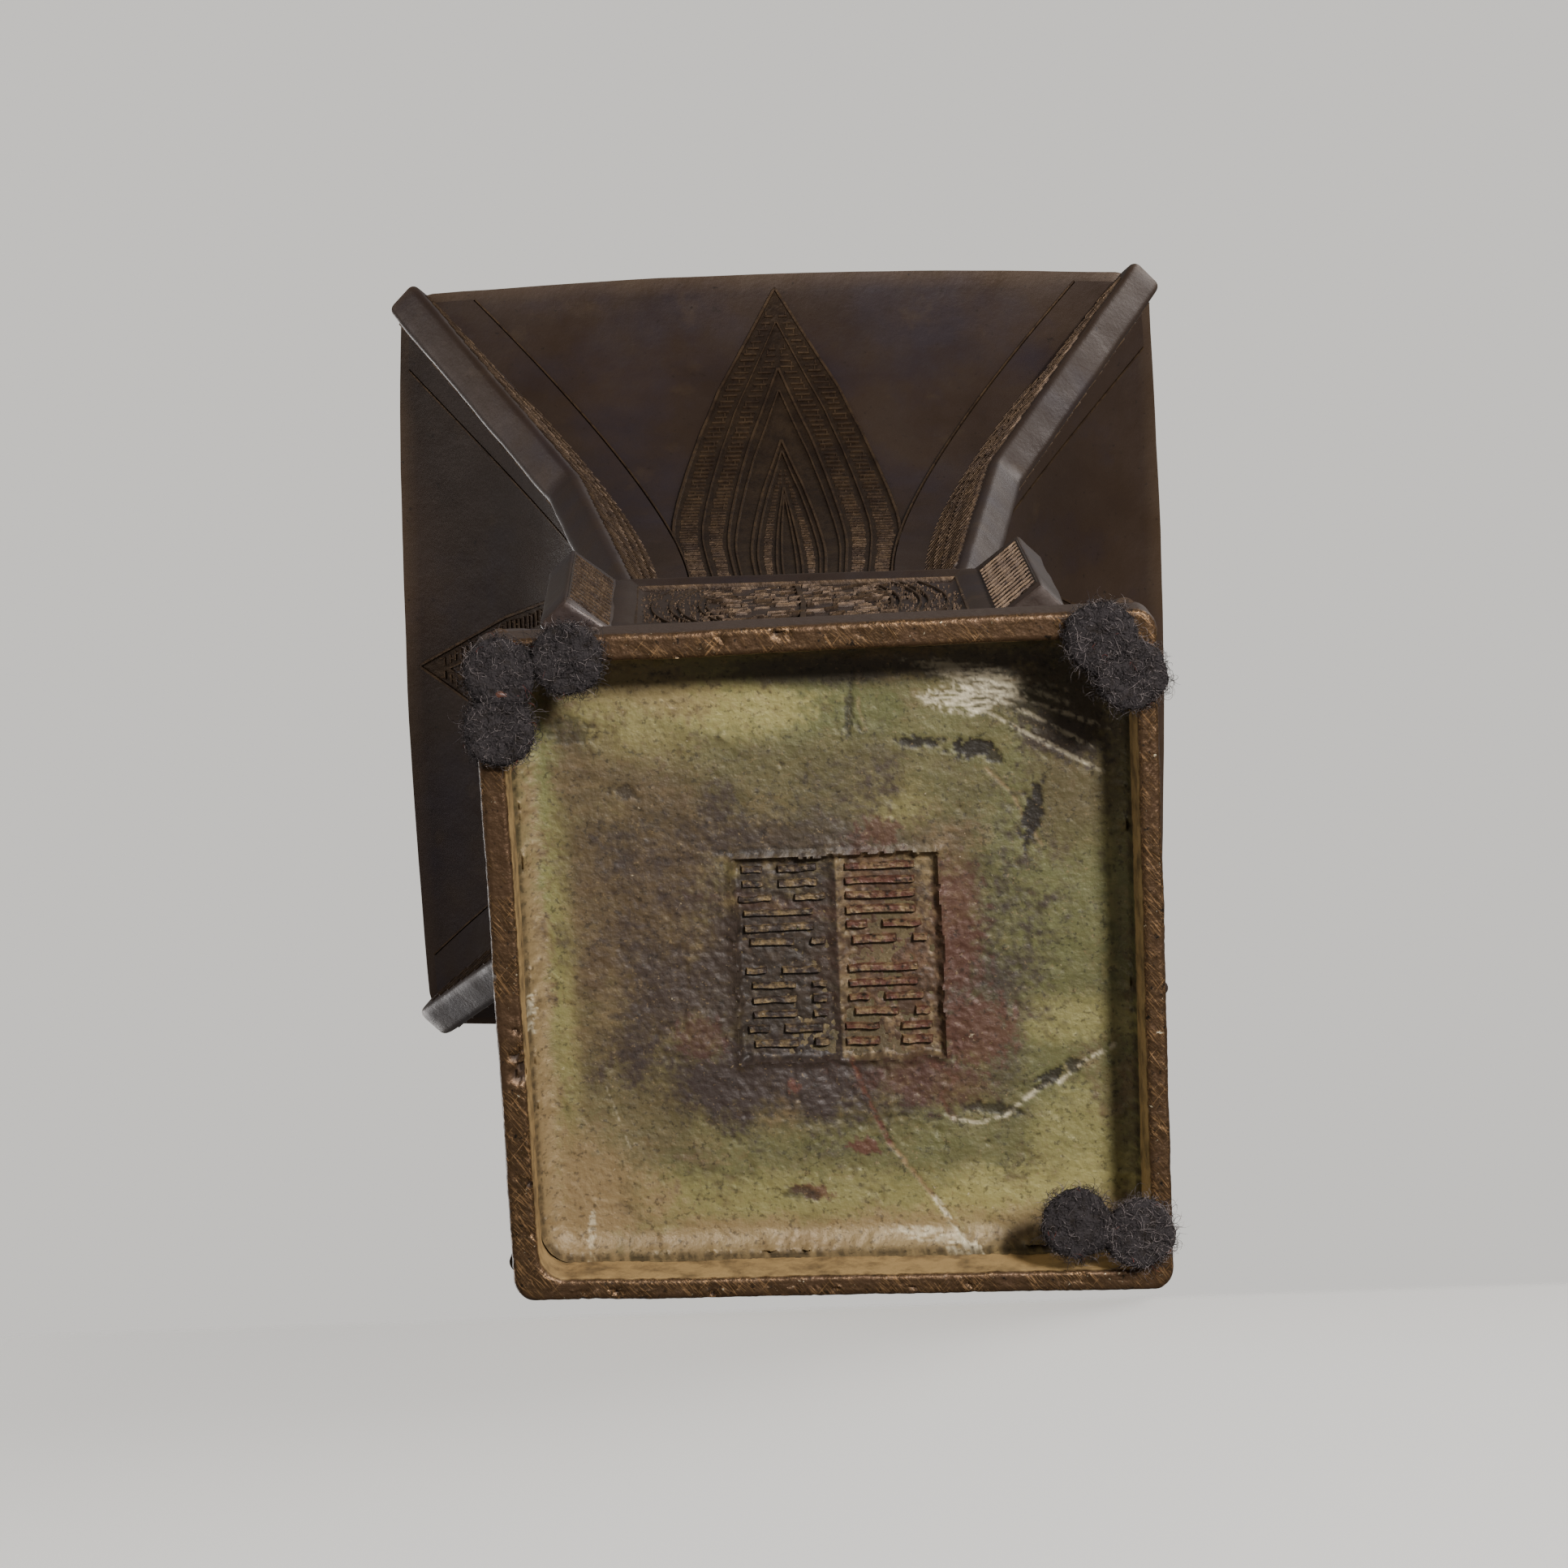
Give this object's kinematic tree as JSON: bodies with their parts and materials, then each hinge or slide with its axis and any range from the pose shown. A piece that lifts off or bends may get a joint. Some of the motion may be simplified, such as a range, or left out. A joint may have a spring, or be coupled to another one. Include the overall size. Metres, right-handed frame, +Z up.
{
  "type": "bronze fanggu vase",
  "caption": "Square cast bronze beaker vase with flared mouth, banded middle, corner flanges and leaf ornament, standing on small felt pads under its foot.",
  "frame": {"origin": "on the vase's axis, at the underside of the felt pads it stands on", "axes": "+Z up along the vase's axis, -Y out of the front face, +X to the right seen from the front"},
  "size_m": [0.1514, 0.1514, 0.2791],
  "materials": {
    "bronze": "patinated cast bronze, dark brown with green under the foot",
    "felt": "fuzzy wool felt"
  },
  "bodies": {
    "root": {"vase_body": "bronze", "felt_pad_front_left_corner": "felt", "felt_pad_front_left_side": "felt", "felt_pad_front_left_front": "felt", "felt_pad_front_right_front": "felt", "felt_pad_front_right_corner": "felt", "felt_pad_back_right_back": "felt", "felt_pad_back_right_corner": "felt"}
  },
  "joints": []
}
